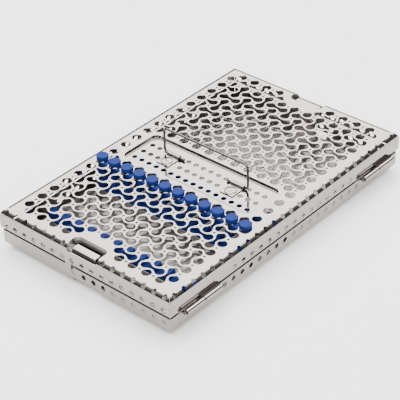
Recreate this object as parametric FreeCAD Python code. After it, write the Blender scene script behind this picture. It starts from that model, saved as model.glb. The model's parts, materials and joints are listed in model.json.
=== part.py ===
"""Perforated steel case that holds hand instruments in a steam steriliser.

A pressed tray and a deeper pressed lid meet at a seam low on the walls.
Two knuckle hinges join them along one long side, and a sprung tongue at each
short end holds the lid.  Origin: centre of the tray's underside, X along the
length, hinges on the -Y side, +Z up.  All sizes are in millimetres.
"""
import FreeCAD, Part
import math
import os

V = FreeCAD.Vector

# Case
LENGTH = 281.0
WIDTH = 175.0
HEIGHT = 34.0
SEAM_Z = 15.6
SHEET = 0.8
BEND_R = 4.5
SKIRT_GAP = 0.4
OVERLAP = 2.6
CORNER_SLIT = 0.5
CORNER_SLIT_TOP = 6.0

# Interlocking dumbbell perforation
HALF_PITCH = 6.7
LAST_COLUMN = 19
LAST_ROW = 11
WEB = 1.9
NECK = 2.2
LOBE_SIDES = 8
LOBE_ARC = (-130, -45, 45, 130)
DRAIN_SIDES = 4
PLAIN_MARGIN = 1.0
NOTCH_ROWS = 2
STUD_COLUMN = -6

# Round holes in the walls
WALL_HOLE = 4.5
HOLE_SIDES = 6
WALL_PITCH = 10.2
END_PITCH = 10.1
LID_HOLE_DROP = 13.1
TRAY_HOLE_Z = 9.6
LONG_ROW_SHIFT = 1.9
END_MARGIN = 7.0

# Hinges
HINGE_FROM_END = 33.0
KNUCKLE = 18.8
KNUCKLE_SPLIT = 0.8
KNUCKLE_R = 2.2
PIN_R = 1.0
PIN_CLEARANCE = 0.05
PIN_TAIL = 2.6
HINGE_STANDOFF = 2.7
LEAF = 0.8
LEAF_LEG = 9.0
LEAF_SLOT_GAP = 0.35
LEAF_SLOT_END = 3.0
RIM_RELIEF = 0.6

# Recessed panel and bail
PANEL_X0 = -26.8
PANEL_X1 = 13.4
PANEL_HALF_Y = 65.0
PANEL_DEPTH = 2.6
PANEL_SLOPE = 1.8
PANEL_CORNER = 5.0
PANEL_HOLE = 4.5
PANEL_COLUMNS = (-19.5, -9.1, 1.9)
PANEL_ROW_PITCH = 7.75
PANEL_ROWS = 16
BAIL_WIRE_R = 1.0
BAIL_HALF_Y = 43.0
BAIL_RISE = 22.2
BAIL_BEND = 3.4
BAIL_BEND_RUNS = 4
BAIL_FOOT = 21.0
BAIL_FLOOR_GAP = 0.3
CLIP_FROM_BAIL = 10.0
CLIP_LENGTH = 12.4
CLIP_SHEET = 0.8
CLIP_CLEARANCE = 0.1
CLIP_TAIL = 14.5
DOME_R = 5.0
DOME_RISE = 1.5
DOME_X = -9.0
DOME_SIDES = 12

# Silicone rails
STUD_HEAD_R = 5.0
STUD_HEAD = 3.4
STUD_RIM = 0.7
STUD_STEM_R = 2.7
STUD_SIDES = 12
STEM_SIDES = 8
RAIL_WIDTH = 9.0
RAIL_OVERHANG = 5.0
LID_RAIL = 4.0
LID_FINGER = 8.0
FINGER = 7.0
FIRST_RAIL_FROM_END = 43.5
LAST_RAIL_X = 3.4
TRAY_RAIL_Z = 14.6
SADDLE_Z = 9.0
CHANNEL_WALL = 0.8
CHANNEL_RISE = 6.0
CHANNEL_GAP = 0.3

# Thumb notches and latch tongues
NOTCH_HALF_Y = 16.0
NOTCH_DEPTH = 14.0
NOTCH_CORNER = 4.5
NOTCH_COLLAR = 6.0
COLLAR_LIP = 0.3
TONGUE_HALF_Y = 11.5
TONGUE_SHEET = 0.8
TONGUE_GAP = 3.0
TONGUE_TOP_DROP = 3.2
TONGUE_BEND = 1.6
PAD_BEND = 4.0
LIP = 4.4
LIP_CLEARANCE = 1.5
FLEX_Z = 6.0
FLEX_GAP = 0.3
FOOT = 13.0
FOOT_RIVET_X = 5.0
FOOT_RIVET_Y = 8.0
RIVET_R = 1.6
RIVET_SIDES = 10
RIVET_HEAD_R = 2.6
RIVET_HEAD = 0.9
RIVET_CLEARANCE = 0.02
LUG_Y = 11.6
LUG_WIDTH = 5.4
LUG_DROP = 4.0
RELIEF_END_Y = -17.0
RELIEF_DEPTH = 5.3

# How far cutters run past a face, and how level an edge counts as flat
OVERRUN = 1.0
THROUGH = 3.0
FLAT = 1e-5

# Derived sizes
LID_X = LENGTH / 2
LID_Y = WIDTH / 2
TRAY_X = LID_X - SHEET - SKIRT_GAP
TRAY_Y = LID_Y - SHEET - SKIRT_GAP
LID_UNDER = HEIGHT - SHEET
TRAY_RIM = SEAM_Z + OVERLAP
LOBE_R = (math.sqrt(2) * HALF_PITCH - WEB) / 2
PANEL_Z = HEIGHT - PANEL_DEPTH
BAIL_Z = PANEL_Z + BAIL_FLOOR_GAP + BAIL_WIRE_R
BAIL_END_Y = BAIL_HALF_Y - BAIL_FOOT
CLIP_Y = BAIL_HALF_Y - CLIP_FROM_BAIL
HINGE_Y = -LID_Y - HINGE_STANDOFF
NOTCH_X = LID_X - NOTCH_DEPTH
TONGUE_X = NOTCH_X + TONGUE_GAP
TONGUE_TOP = HEIGHT - TONGUE_TOP_DROP
HINGE_X = LID_X - HINGE_FROM_END
STUD_X = STUD_COLUMN * HALF_PITCH
TRAY_RAIL_X = (FIRST_RAIL_FROM_END - LID_X, STUD_X, LAST_RAIL_X)
ROW_REACH = HINGE_X - KNUCKLE_SPLIT / 2 - KNUCKLE - LONG_ROW_SHIFT
TRAY_ROW_COUNT = int(ROW_REACH // WALL_PITCH)
LID_ROW_COUNT = int((ROW_REACH - LEAF_SLOT_END - WALL_HOLE / 2) // WALL_PITCH)
RAIL_HALF_Y = LAST_ROW * HALF_PITCH + RAIL_OVERHANG
LIP_X = LID_X - SHEET - LIP_CLEARANCE


def box(x0, y0, z0, x1, y1, z1):
    """Box between two corners, whatever their order."""
    low = V(min(x0, x1), min(y0, y1), min(z0, z1))
    return Part.makeBox(abs(x1 - x0), abs(y1 - y0), abs(z1 - z0), low)


def prism(points, low, high):
    """Flat outline in X and Y, raised from low to high."""
    corners = [V(x, y, low) for x, y in points]
    wire = Part.makePolygon(corners + [corners[0]])
    return Part.Face(wire).extrude(V(0, 0, high - low))


def ring(count, radius, turn=0.0):
    """Corners of a regular outline about the origin."""
    angles = [turn + 2 * math.pi * k / count for k in range(count)]
    return [(radius * math.cos(a), radius * math.sin(a)) for a in angles]


def round_wire(count, radius, z):
    corners = [V(x, y, z) for x, y in ring(count, radius)]
    return Part.makePolygon(corners + [corners[0]])


def rounded_rectangle(x0, y0, x1, y1, radius, z):
    """Closed wire of straight runs and quarter arcs."""
    cut = radius * (1 - math.sqrt(0.5))
    edges = []
    corners = [((x1, y1), (-1, -1)), ((x0, y1), (1, -1)), ((x0, y0), (1, 1)), ((x1, y0), (-1, 1))]
    ends = []
    for index, ((x, y), (sx, sy)) in enumerate(corners):
        on_y = V(x, y + sy * radius, z)
        on_x = V(x + sx * radius, y, z)
        start, stop = (on_y, on_x) if index % 2 == 0 else (on_x, on_y)
        ends.append((start, V(x + sx * cut, y + sy * cut, z), stop))
    for index, (start, middle, stop) in enumerate(ends):
        edges.append(Part.Arc(start, middle, stop).toShape())
        edges.append(Part.LineSegment(stop, ends[(index + 1) % 4][0]).toShape())
    return Part.Wire(edges)


def cylinder(radius, length, start, direction):
    return Part.makeCylinder(radius, length, start, direction)


def mirror_x(shape):
    """Copy on the other short end."""
    return shape.mirror(V(0, 0, 0), V(1, 0, 0))


def fuse_all(shapes):
    whole = shapes[0].multiFuse(shapes[1:])
    return whole.removeSplitter()


def edges_at_height(shape, z):
    """Edges that lie wholly at one height."""
    return [e for e in shape.Edges if abs(e.BoundBox.ZMin - z) + abs(e.BoundBox.ZMax - z) < FLAT]


def edges_at_x(edges, x):
    return [e for e in edges if abs(e.BoundBox.XMin - x) + abs(e.BoundBox.XMax - x) < FLAT]


def pressed_pan(half_x, half_y, low, high, closed_at_top):
    """Open pan of sheet with its closed face's four edges bent round."""
    outer = box(-half_x, -half_y, low, half_x, half_y, high)
    face_z = high if closed_at_top else low
    outer = outer.makeFillet(BEND_R, edges_at_height(outer, face_z))
    inner_low = low - THROUGH if closed_at_top else low + SHEET
    inner_high = high - SHEET if closed_at_top else high + THROUGH
    inner = box(-half_x + SHEET, -half_y + SHEET, inner_low, half_x - SHEET, half_y - SHEET, inner_high)
    inner_face = inner_high if closed_at_top else inner_low
    inner = inner.makeFillet(BEND_R - SHEET, edges_at_height(inner, inner_face))
    return outer.cut(inner)


def corner_slits(half_x, half_y, low, high):
    """Open joints where the folded walls meet."""
    slits = []
    reach = 2 * SHEET
    for sx in (-1, 1):
        for sy in (-1, 1):
            slit = box(-reach, -CORNER_SLIT / 2, low, reach, CORNER_SLIT / 2, high)
            slit.rotate(V(0, 0, 0), V(0, 0, 1), 45 * sx * sy)
            slit.translate(V(sx * half_x, sy * half_y, 0))
            slits.append(slit)
    return slits


def lobe_centres(column, row):
    """Two lattice places of the dumbbell centred on an even column and row."""
    if (column + row) // 2 % 2 == 0:
        return [(column - 1, row), (column + 1, row)]
    return [(column, row - 1), (column, row + 1)]


def lid_keeps(column, row):
    """Plain sheet stays round the panel and the thumb notches."""
    if abs(column) > LAST_COLUMN or abs(row) > LAST_ROW:
        return False
    over_panel = PANEL_X0 - PLAIN_MARGIN < column * HALF_PITCH < PANEL_X1 + PLAIN_MARGIN
    if over_panel and abs(row) < LAST_ROW:
        return False
    if abs(column) == LAST_COLUMN and abs(row) <= NOTCH_ROWS:
        return False
    return not (abs(column) == LAST_COLUMN - 1 and abs(row) < NOTCH_ROWS)


def lobe(column, row):
    """One round end of the pattern, left alone at a border."""
    x, y = column * HALF_PITCH, row * HALF_PITCH
    return [(x + dx, y + dy) for dx, dy in ring(LOBE_SIDES, LOBE_R, math.pi / LOBE_SIDES)]


def dumbbell(first, second):
    """Two lobes and the narrow neck between them."""
    x0, y0 = (HALF_PITCH * v for v in first)
    x1, y1 = (HALF_PITCH * v for v in second)
    centre_x, centre_y = (x0 + x1) / 2, (y0 + y1) / 2
    along_x, along_y = (x1 - x0) / 2 / HALF_PITCH, (y1 - y0) / 2 / HALF_PITCH
    half = []
    for degrees in LOBE_ARC:
        angle = math.radians(degrees)
        half.append((HALF_PITCH + LOBE_R * math.cos(angle), LOBE_R * math.sin(angle)))
    half.append((0, NECK / 2))
    outline = half + [(-u, -v) for u, v in half]
    return [(centre_x + u * along_x - v * along_y, centre_y + u * along_y + v * along_x) for u, v in outline]


def lid_perforation(low, high):
    """Every dumbbell whose lobes the sheet keeps, and the single lobes left."""
    cutters = []
    for column in range(-LAST_COLUMN - 1, LAST_COLUMN + 2, 2):
        for row in range(-LAST_ROW - 1, LAST_ROW + 2, 2):
            places = [place for place in lobe_centres(column, row) if lid_keeps(*place)]
            if len(places) == 2:
                cutters.append(prism(dumbbell(*places), low, high))
            elif places:
                cutters.append(prism(lobe(*places[0]), low, high))
    return cutters


def tray_perforation(low, high):
    """Drain holes in the floor, on every second place of the lid's lattice."""
    cutters = []
    for column in range(1 - LAST_COLUMN, LAST_COLUMN, 2):
        for row in range(1 - LAST_ROW, LAST_ROW, 2):
            if (column + row) // 2 % 2 == 0:
                hole = prism(ring(DRAIN_SIDES, LOBE_R), low, high)
                hole.translate(V(column * HALF_PITCH, row * HALF_PITCH, 0))
                cutters.append(hole)
    return cutters


def wall_hole(x, y, z, axis):
    """Prism through one wall, turned down about an axis."""
    hole = prism(ring(HOLE_SIDES, WALL_HOLE / 2), -THROUGH, THROUGH)
    hole.rotate(V(0, 0, 0), axis, 90)
    hole.translate(V(x, y, z))
    return hole


def end_wall_holes(half_x, z, last_y):
    """One row in each short wall, up to a place along the width."""
    count = int((LID_Y - END_MARGIN) // END_PITCH)
    rows = [k * END_PITCH for k in range(-count, count + 1) if k * END_PITCH < last_y]
    return [wall_hole(side * half_x, y, z, V(0, 1, 0)) for side in (-1, 1) for y in rows]


def long_wall_holes(half_y, z, count):
    """One row in each long wall, so many holes each side of its middle."""
    places = [LONG_ROW_SHIFT + k * WALL_PITCH for k in range(-count, count + 1)]
    return [wall_hole(x, side * half_y, z, V(1, 0, 0)) for side in (-1, 1) for x in places]


def notch_prism(grow, low, high):
    """Thumb notch outline at the +X end, open towards the end wall."""
    radius = NOTCH_CORNER + grow
    half = NOTCH_HALF_Y + grow
    wire = rounded_rectangle(NOTCH_X - grow, -half, LID_X + 4 * BEND_R, half, radius, low)
    return Part.Face(wire).extrude(V(0, 0, high - low))


def pocket(grow, low, high):
    """Sloped pocket of the recessed panel."""
    top = rounded_rectangle(PANEL_X0 - grow, -PANEL_HALF_Y - grow, PANEL_X1 + grow, PANEL_HALF_Y + grow,
                            PANEL_CORNER + grow, high)
    inset = PANEL_SLOPE - grow
    inner_y = PANEL_HALF_Y - inset
    bottom = rounded_rectangle(PANEL_X0 + inset, -inner_y, PANEL_X1 - inset, inner_y,
                               PANEL_CORNER - inset, low)
    return Part.makeLoft([bottom, top], True, True)


def panel_holes():
    """Three columns of round holes, with gaps under the bail's clips and domes."""
    cutters = []
    clip_reach = CLIP_LENGTH / 2 + PANEL_HOLE / 2
    dome_reach = DOME_R + PANEL_HOLE / 2
    for x in PANEL_COLUMNS:
        for index in range(PANEL_ROWS):
            y = (index - (PANEL_ROWS - 1) / 2) * PANEL_ROW_PITCH
            past_clip = abs(abs(y) - CLIP_Y) > clip_reach or abs(x) > CLIP_TAIL
            near_pivot = abs(x) < PANEL_HOLE
            past_foot = not near_pivot or abs(y) < BAIL_END_Y - PANEL_HOLE or abs(y) > CLIP_Y + clip_reach
            if past_clip and past_foot and abs(abs(y) - CLIP_Y) + abs(x - DOME_X) > dome_reach:
                hole = prism(ring(HOLE_SIDES, PANEL_HOLE / 2), PANEL_Z - THROUGH, PANEL_Z + THROUGH)
                hole.translate(V(x, y, 0))
                cutters.append(hole)
    return cutters


def hinge_spans(centre):
    """X spans of a hinge's tray knuckle and lid knuckle."""
    half = KNUCKLE_SPLIT / 2
    return (centre - half - KNUCKLE, centre - half), (centre + half, centre + half + KNUCKLE)


def leaf_slots(half_y, z, which):
    """Slots in a long wall that a hinge's leaves pass through, with open ends."""
    slots = []
    for centre in (-HINGE_X, HINGE_X):
        x0, x1 = hinge_spans(centre)[which]
        slots.append(box(x0 - LEAF_SLOT_END, -half_y - OVERRUN, z - LEAF_SLOT_GAP,
                         x1 + LEAF_SLOT_END, -half_y + SHEET + LEAF_SLOT_GAP, z + LEAF + LEAF_SLOT_GAP))
    return slots


def make_lid():
    shell = pressed_pan(LID_X, LID_Y, SEAM_Z, HEIGHT, True)
    collar_z = HEIGHT - NOTCH_COLLAR
    collar = notch_prism(SHEET, collar_z, HEIGHT - COLLAR_LIP)
    collar = collar.common(box(0, -LID_Y, collar_z, LID_X - BEND_R, LID_Y, HEIGHT))
    under_pocket = pocket(SHEET, PANEL_Z - SHEET, LID_UNDER)
    lug = box(LID_X - SHEET, LUG_Y, SEAM_Z - LUG_DROP, LID_X, LUG_Y + LUG_WIDTH, SEAM_Z)
    lid = shell.multiFuse([collar, mirror_x(collar), under_pocket, lug, mirror_x(lug)])
    notch = notch_prism(0, collar_z + COLLAR_LIP, HEIGHT + THROUGH)
    inside = notch_prism(0, collar_z - COLLAR_LIP, HEIGHT)
    inside = inside.common(box(0, -LID_Y, 0, LID_X - SHEET, LID_Y, HEIGHT))
    cutters = [notch, mirror_x(notch), inside, mirror_x(inside)]
    cutters.append(pocket(0, PANEL_Z, HEIGHT))
    cutters += lid_perforation(LID_UNDER - THROUGH, HEIGHT + THROUGH)
    cutters += panel_holes()
    hole_z = HEIGHT - LID_HOLE_DROP
    cutters += end_wall_holes(LID_X, hole_z, LID_Y)
    cutters += long_wall_holes(LID_Y, hole_z, LID_ROW_COUNT)
    cutters += corner_slits(LID_X, LID_Y, SEAM_Z - OVERRUN, HEIGHT - CORNER_SLIT_TOP)
    cutters += leaf_slots(LID_Y, SEAM_Z + KNUCKLE_R - LEAF, 1)
    return lid.cut(cutters)


def make_tray():
    """Tray, let down at the rim for the lid's hinge leaves and open below each latch."""
    shell = pressed_pan(TRAY_X, TRAY_Y, 0, TRAY_RIM, False)
    cutters = tray_perforation(-THROUGH, SHEET + THROUGH)
    cutters += end_wall_holes(TRAY_X, TRAY_HOLE_Z, LUG_Y)
    cutters += long_wall_holes(TRAY_Y, TRAY_HOLE_Z, TRAY_ROW_COUNT)
    cutters += corner_slits(TRAY_X, TRAY_Y, CORNER_SLIT_TOP, TRAY_RIM + OVERRUN)
    cutters += leaf_slots(TRAY_Y, SEAM_Z - KNUCKLE_R, 0)
    for centre in (-HINGE_X, HINGE_X):
        x0, x1 = hinge_spans(centre)[1]
        cutters.append(box(x0 - RIM_RELIEF, -TRAY_Y - OVERRUN, SEAM_Z + RIM_RELIEF,
                           x1 + RIM_RELIEF, -TRAY_Y + SHEET + OVERRUN, TRAY_RIM + OVERRUN))
    for side in (-1, 1):
        cutters.append(box(side * (TRAY_X - RELIEF_DEPTH), RELIEF_END_Y, -OVERRUN,
                           side * (TRAY_X + OVERRUN), LUG_Y, BEND_R))
        for x, y in foot_rivet_places():
            hole = prism(ring(RIVET_SIDES, RIVET_R), -OVERRUN, SHEET + OVERRUN)
            hole.translate(V(side * x, y, 0))
            cutters.append(hole)
    return shell.cut(cutters)


def foot_rivet_places():
    return [(TONGUE_X - FOOT_RIVET_X, y) for y in (-FOOT_RIVET_Y, FOOT_RIVET_Y)]


def hinge_leaf(span, on_lid):
    """Knuckle rolled at the edge of a leaf that is welded inside its wall."""
    x0, x1 = span
    tube = cylinder(KNUCKLE_R, x1 - x0, V(x0, HINGE_Y, SEAM_Z), V(1, 0, 0))
    bore_start = V(x0 - OVERRUN, HINGE_Y, SEAM_Z)
    bore = cylinder(PIN_R + PIN_CLEARANCE, x1 - x0 + 2 * OVERRUN, bore_start, V(1, 0, 0))
    if on_lid:
        wall_y = -LID_Y + SHEET
        web_z = SEAM_Z + KNUCKLE_R - LEAF
        leg = box(x0, wall_y, web_z, x1, wall_y + LEAF, web_z + LEAF_LEG)
    else:
        wall_y = -TRAY_Y + SHEET
        web_z = SEAM_Z - KNUCKLE_R
        leg = box(x0, wall_y, web_z + LEAF - LEAF_LEG, x1, wall_y + LEAF, web_z + LEAF)
    web = box(x0, HINGE_Y, web_z, x1, wall_y + LEAF, web_z + LEAF)
    return fuse_all([tube, web, leg]).cut(bore)


def hinge_pin(centre):
    x0 = hinge_spans(centre)[0][0] - PIN_TAIL
    x1 = hinge_spans(centre)[1][1] + PIN_TAIL
    return cylinder(PIN_R, x1 - x0, V(x0, HINGE_Y, SEAM_Z), V(1, 0, 0))


def make_bail():
    """Wire handle, upright, whose two feet turn inwards along the pivot line."""
    top = BAIL_Z + BAIL_RISE
    corners = [(BAIL_END_Y, BAIL_Z), (BAIL_HALF_Y, BAIL_Z), (BAIL_HALF_Y, top),
               (-BAIL_HALF_Y, top), (-BAIL_HALF_Y, BAIL_Z), (-BAIL_END_Y, BAIL_Z)]
    points = [V(0, y, z) for y, z in corners]
    path = [points[0]]
    for before, corner, after in zip(points, points[1:], points[2:]):
        path += bend_points(before, corner, after)
    path.append(points[-1])
    section = Part.Wire([Part.Circle(points[0], V(0, 1, 0), BAIL_WIRE_R).toShape()])
    mitred = 1
    return Part.Wire(Part.makePolygon(path)).makePipeShell([section], True, False, mitred)


def bend_points(before, corner, after):
    """Places along a bend, close enough together for short straight runs."""
    into = (corner - before).normalize()
    out = (after - corner).normalize()
    centre = corner + (out - into) * BAIL_BEND
    turns = [math.pi / 2 * k / BAIL_BEND_RUNS for k in range(BAIL_BEND_RUNS + 1)]
    return [centre - out * BAIL_BEND * math.cos(t) + into * BAIL_BEND * math.sin(t) for t in turns]


def bail_clip(side):
    """Strap bent over the bail's foot, with a flange under its rivet."""
    y0 = side * CLIP_Y - CLIP_LENGTH / 2
    y1 = y0 + CLIP_LENGTH
    inner = BAIL_WIRE_R + CLIP_CLEARANCE
    outer = inner + CLIP_SHEET
    over = cylinder(outer, CLIP_LENGTH, V(0, y0, BAIL_Z), V(0, 1, 0))
    legs = box(-outer, y0, PANEL_Z, outer, y1, BAIL_Z)
    flange = box(-CLIP_TAIL, y0, PANEL_Z, 0, y1, PANEL_Z + CLIP_SHEET)
    room = cylinder(inner, CLIP_LENGTH + 2 * OVERRUN, V(0, y0 - OVERRUN, BAIL_Z), V(0, 1, 0))
    under = box(-inner, y0 - OVERRUN, PANEL_Z - OVERRUN, inner, y1 + OVERRUN, BAIL_Z)
    floor = box(-outer, y0 - OVERRUN, PANEL_Z - outer, outer, y1 + OVERRUN, PANEL_Z)
    return fuse_all([over, legs, flange]).cut([room, under, floor])


def clip_rivet(side):
    """Low domed rivet head on the clip's flange, in two rings of flats."""
    seat = PANEL_Z + CLIP_SHEET
    steps = [(DOME_R, 0), (DOME_R * math.cos(math.pi / 6), DOME_RISE / 2), (DOME_R / 2, DOME_RISE)]
    head = Part.makeLoft([round_wire(DOME_SIDES, radius, seat + rise) for radius, rise in steps], True, True)
    head.translate(V(DOME_X, side * CLIP_Y, 0))
    return head


def stud_rows():
    return [row * HALF_PITCH for row in range(-LAST_ROW, LAST_ROW + 1, 2)]


def make_lid_rail():
    """Soft strip under the lid: studs pulled up through the sheet, fingers below."""
    x = STUD_X
    half = RAIL_WIDTH / 2
    low = LID_UNDER - LID_RAIL
    pieces = [box(x - half, -RAIL_HALF_Y, low, x + half, RAIL_HALF_Y, LID_UNDER)]
    for y in stud_rows():
        stem = prism(ring(STEM_SIDES, STUD_STEM_R, math.pi / STEM_SIDES), LID_UNDER, HEIGHT)
        rim_z = HEIGHT + STUD_HEAD - STUD_RIM
        head = prism(ring(STUD_SIDES, STUD_HEAD_R), HEIGHT, rim_z)
        crown_wire = round_wire(STUD_SIDES, STUD_HEAD_R - STUD_RIM, HEIGHT + STUD_HEAD)
        crown = Part.makeLoft([round_wire(STUD_SIDES, STUD_HEAD_R, rim_z), crown_wire], True, True)
        stud = stem.multiFuse([head, crown])
        stud.translate(V(x, y, 0))
        pieces.append(stud)
        pieces.append(box(x - half, y - FINGER / 2, low - LID_FINGER, x + half, y + FINGER / 2, low))
    return fuse_all(pieces)


def make_tray_rail(x):
    """Soft strip in its channel, with a finger each side of every saddle."""
    half = RAIL_WIDTH / 2
    pieces = [box(x - half, -RAIL_HALF_Y, SHEET + CHANNEL_WALL, x + half, RAIL_HALF_Y, SADDLE_Z)]
    for y in stud_rows():
        pieces.append(box(x - half, y - FINGER / 2, SADDLE_Z, x + half, y + FINGER / 2, TRAY_RAIL_Z))
    return fuse_all(pieces)


def make_channel(x):
    """U-shaped steel channel welded to the tray's floor."""
    half = RAIL_WIDTH / 2 + CHANNEL_GAP
    wide = half + CHANNEL_WALL
    outer = box(x - wide, -RAIL_HALF_Y, SHEET, x + wide, RAIL_HALF_Y, SHEET + CHANNEL_RISE)
    past = RAIL_HALF_Y + OVERRUN
    return outer.cut(box(x - half, -past, SHEET + CHANNEL_WALL, x + half, past, HEIGHT))


def tongue_block(inset):
    """Solid below one face of the bent strip, rounded over its bend and its pad."""
    x0, x1, top = TONGUE_X + inset, LIP_X - inset, TONGUE_TOP - inset
    block = box(x0, -TONGUE_HALF_Y, FLEX_Z + FLEX_GAP, x1, TONGUE_HALF_Y, top)
    for x, radius in ((x0, TONGUE_BEND + TONGUE_SHEET), (x1, PAD_BEND)):
        block = block.makeFillet(radius - inset, edges_at_x(edges_at_height(block, top), x))
    return block


def make_tongue():
    """Sprung tongue at the +X end: leg, pad that shows in the thumb notch, and lip."""
    lip_z = TONGUE_TOP - LIP
    below_lip = box(TONGUE_X + TONGUE_SHEET, -TONGUE_HALF_Y, 0, LID_X, TONGUE_HALF_Y, lip_z)
    return tongue_block(0).cut([tongue_block(TONGUE_SHEET), below_lip])


def make_foot():
    """Foot of the tongue, riveted to the tray's floor, up to the flexing line."""
    x = TONGUE_X
    riser = box(x, -TONGUE_HALF_Y, SHEET, x + TONGUE_SHEET, TONGUE_HALF_Y, FLEX_Z)
    sole = box(x - FOOT, -TONGUE_HALF_Y, SHEET, x, TONGUE_HALF_Y, SHEET + TONGUE_SHEET)
    holes = []
    for hole_x, hole_y in foot_rivet_places():
        hole = prism(ring(RIVET_SIDES, RIVET_R), 0, 2 * FLEX_Z)
        hole.translate(V(hole_x, hole_y, 0))
        holes.append(hole)
    return fuse_all([riser, sole]).cut(holes)


def foot_rivets():
    rivets = []
    seat = SHEET + TONGUE_SHEET
    for x, y in foot_rivet_places():
        shank = prism(ring(RIVET_SIDES, RIVET_R - RIVET_CLEARANCE), 0, seat)
        head = prism(ring(RIVET_SIDES, RIVET_HEAD_R), seat, seat + RIVET_HEAD)
        rivet = shank.fuse(head).removeSplitter()
        rivet.translate(V(x, y, 0))
        rivets.append(rivet)
    return Part.makeCompound(rivets)


def all_nodes():
    nodes = {"lid_cover": make_lid(), "base_tray": make_tray()}
    for place, centre in (("near", -HINGE_X), ("far", HINGE_X)):
        tray_span, lid_span = hinge_spans(centre)
        nodes["tray_hinge_leaf_" + place] = hinge_leaf(tray_span, False)
        nodes["lid_hinge_leaf_" + place] = hinge_leaf(lid_span, True)
        nodes["hinge_pin_" + place] = hinge_pin(centre)
    nodes["bail_handle"] = make_bail()
    for place, side in (("left", 1), ("right", -1)):
        nodes["bail_clip_" + place] = bail_clip(side)
        nodes["clip_rivet_" + place] = clip_rivet(side)
    nodes["lid_rail"] = make_lid_rail()
    for number, x in enumerate(TRAY_RAIL_X, 1):
        nodes["tray_rail_%d" % number] = make_tray_rail(x)
        nodes["rail_channel_%d" % number] = make_channel(x)
    tongue, foot, rivets = make_tongue(), make_foot(), foot_rivets()
    for name, shape in (("latch_tongue", tongue), ("latch_foot", foot), ("latch_rivets", rivets)):
        nodes[name + "_far"] = shape
        nodes[name + "_near"] = mirror_x(shape)
    return nodes


def lone_solid(shape):
    """The solid itself where a shape is a group of one."""
    if shape.ShapeType != "Solid" and len(shape.Solids) == 1:
        return shape.Solids[0]
    return shape


os.makedirs("parts", exist_ok=True)
for node_name, node_shape in all_nodes().items():
    node_shape = lone_solid(node_shape)
    node_shape.exportStep("parts/" + node_name + ".step")
    print(node_name, len(node_shape.Solids), node_shape.isValid(), round(node_shape.Volume, 1))
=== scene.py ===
"""Finished look of a perforated steel case for steam sterilising hand instruments.

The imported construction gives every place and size.  Each operator below makes one
piece of the case, or one group of like pieces, and hangs it on its moving body.
Lengths are in metres, in the frame of the construction: X along the case, the
hinges on the -Y side, +Z up.
"""
import json
import math

import bmesh
import bpy
from mathutils import Euler, Matrix, Vector


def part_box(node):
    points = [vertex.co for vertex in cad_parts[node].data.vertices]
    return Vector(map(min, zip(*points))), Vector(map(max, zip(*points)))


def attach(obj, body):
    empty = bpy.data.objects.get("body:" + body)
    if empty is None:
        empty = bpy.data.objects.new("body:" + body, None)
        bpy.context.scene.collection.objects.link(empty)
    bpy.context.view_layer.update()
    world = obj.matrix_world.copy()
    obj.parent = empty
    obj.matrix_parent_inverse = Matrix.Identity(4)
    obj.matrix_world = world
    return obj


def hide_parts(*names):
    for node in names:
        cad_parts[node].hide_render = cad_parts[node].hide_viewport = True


bl_info = {
    "name": "Perforated sterilising case",
    "version": (1, 0, 0),
    "blender": (4, 5, 0),
    "location": "View3D > Sidebar > Case",
    "description": "Makes a polished, perforated instrument case piece by piece",
    "category": "Add Mesh",
}

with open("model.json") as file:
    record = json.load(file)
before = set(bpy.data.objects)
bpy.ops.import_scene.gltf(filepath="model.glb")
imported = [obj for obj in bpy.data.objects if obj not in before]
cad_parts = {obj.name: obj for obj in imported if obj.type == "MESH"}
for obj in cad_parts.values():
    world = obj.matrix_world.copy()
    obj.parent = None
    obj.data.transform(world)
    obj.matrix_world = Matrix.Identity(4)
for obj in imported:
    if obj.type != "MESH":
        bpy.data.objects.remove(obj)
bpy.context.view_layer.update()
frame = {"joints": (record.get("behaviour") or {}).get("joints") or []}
MM = 0.001
HALF = 0.5

# Places read from the construction.  The lid's lugs hang below its seam.
LID_LOW, LID_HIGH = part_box("lid_cover")
TRAY_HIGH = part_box("base_tray")[1]
HALF_LENGTH, HALF_WIDTH, HEIGHT = LID_HIGH[0], LID_HIGH[1], LID_HIGH[2]
TRAY_X, TRAY_Y = TRAY_HIGH[0], TRAY_HIGH[1]
LUG_DROP = 4.0 * MM
SEAM = LID_LOW[2] + LUG_DROP
HINGE_Z = next(joint for joint in frame["joints"] if joint["name"] == "lid_hinge")["pos_m"][2]

# Edges of the two walls, the tray's stepped shoulder under the lid's, and the lugs
LIP = SEAM + 1.8 * MM
TRAY_RIM = min(TRAY_HIGH[2], 18.3 * MM)
SHOULDER_DEPTH, SHOULDER_DROP, SHOULDER_RISE = 1.2 * MM, 3.2 * MM, 1.4 * MM
LUG_Y, LUG_PAST = 11.6 * MM, 1.0 * MM
RELIEF_DEPTH, RELIEF_Y = 5.3 * MM, 17.0 * MM

# How far a cutter passes its sheet, and how deep the rims of the big holes are drawn
THROUGH = 3.0 * MM
RIM_DRAW = 0.5 * MM

# Rows of round holes, as counts of pitches each way from the middle
WALL_PITCH, END_PITCH = 10.2 * MM, 10.1 * MM
LONG_SHIFT = 1.9 * MM
LID_HOLES, TRAY_HOLES, END_HOLES, BEND_HOLES = (-7, 7), (-8, 8), (-8, 8), (-13, 13)
LID_HOLE_DROP = 13.1 * MM
TRAY_HOLE_Z = 9.6 * MM

# Thumb notches in the lid's ends, and the lattice places that make room for them
NOTCH_HALF_Y, NOTCH_DEPTH, NOTCH_CORNER = 16.0 * MM, 14.0 * MM, 4.5 * MM
NOTCH_COLLAR, NOTCH_WALL_DROP, NOTCH_SLOPE = 6.0 * MM, 5.7 * MM, 1.3 * MM
COLLAR_TOP_DROP = 0.3 * MM
NOTCH_BORDER = 20.0 * MM
NOTCH_PAST_IN_BENDS = 4
LID_NOTCH_COLUMN, TRAY_NOTCH_COLUMN, NOTCH_ROWS = 19.0, 18.0, 2.0

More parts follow.
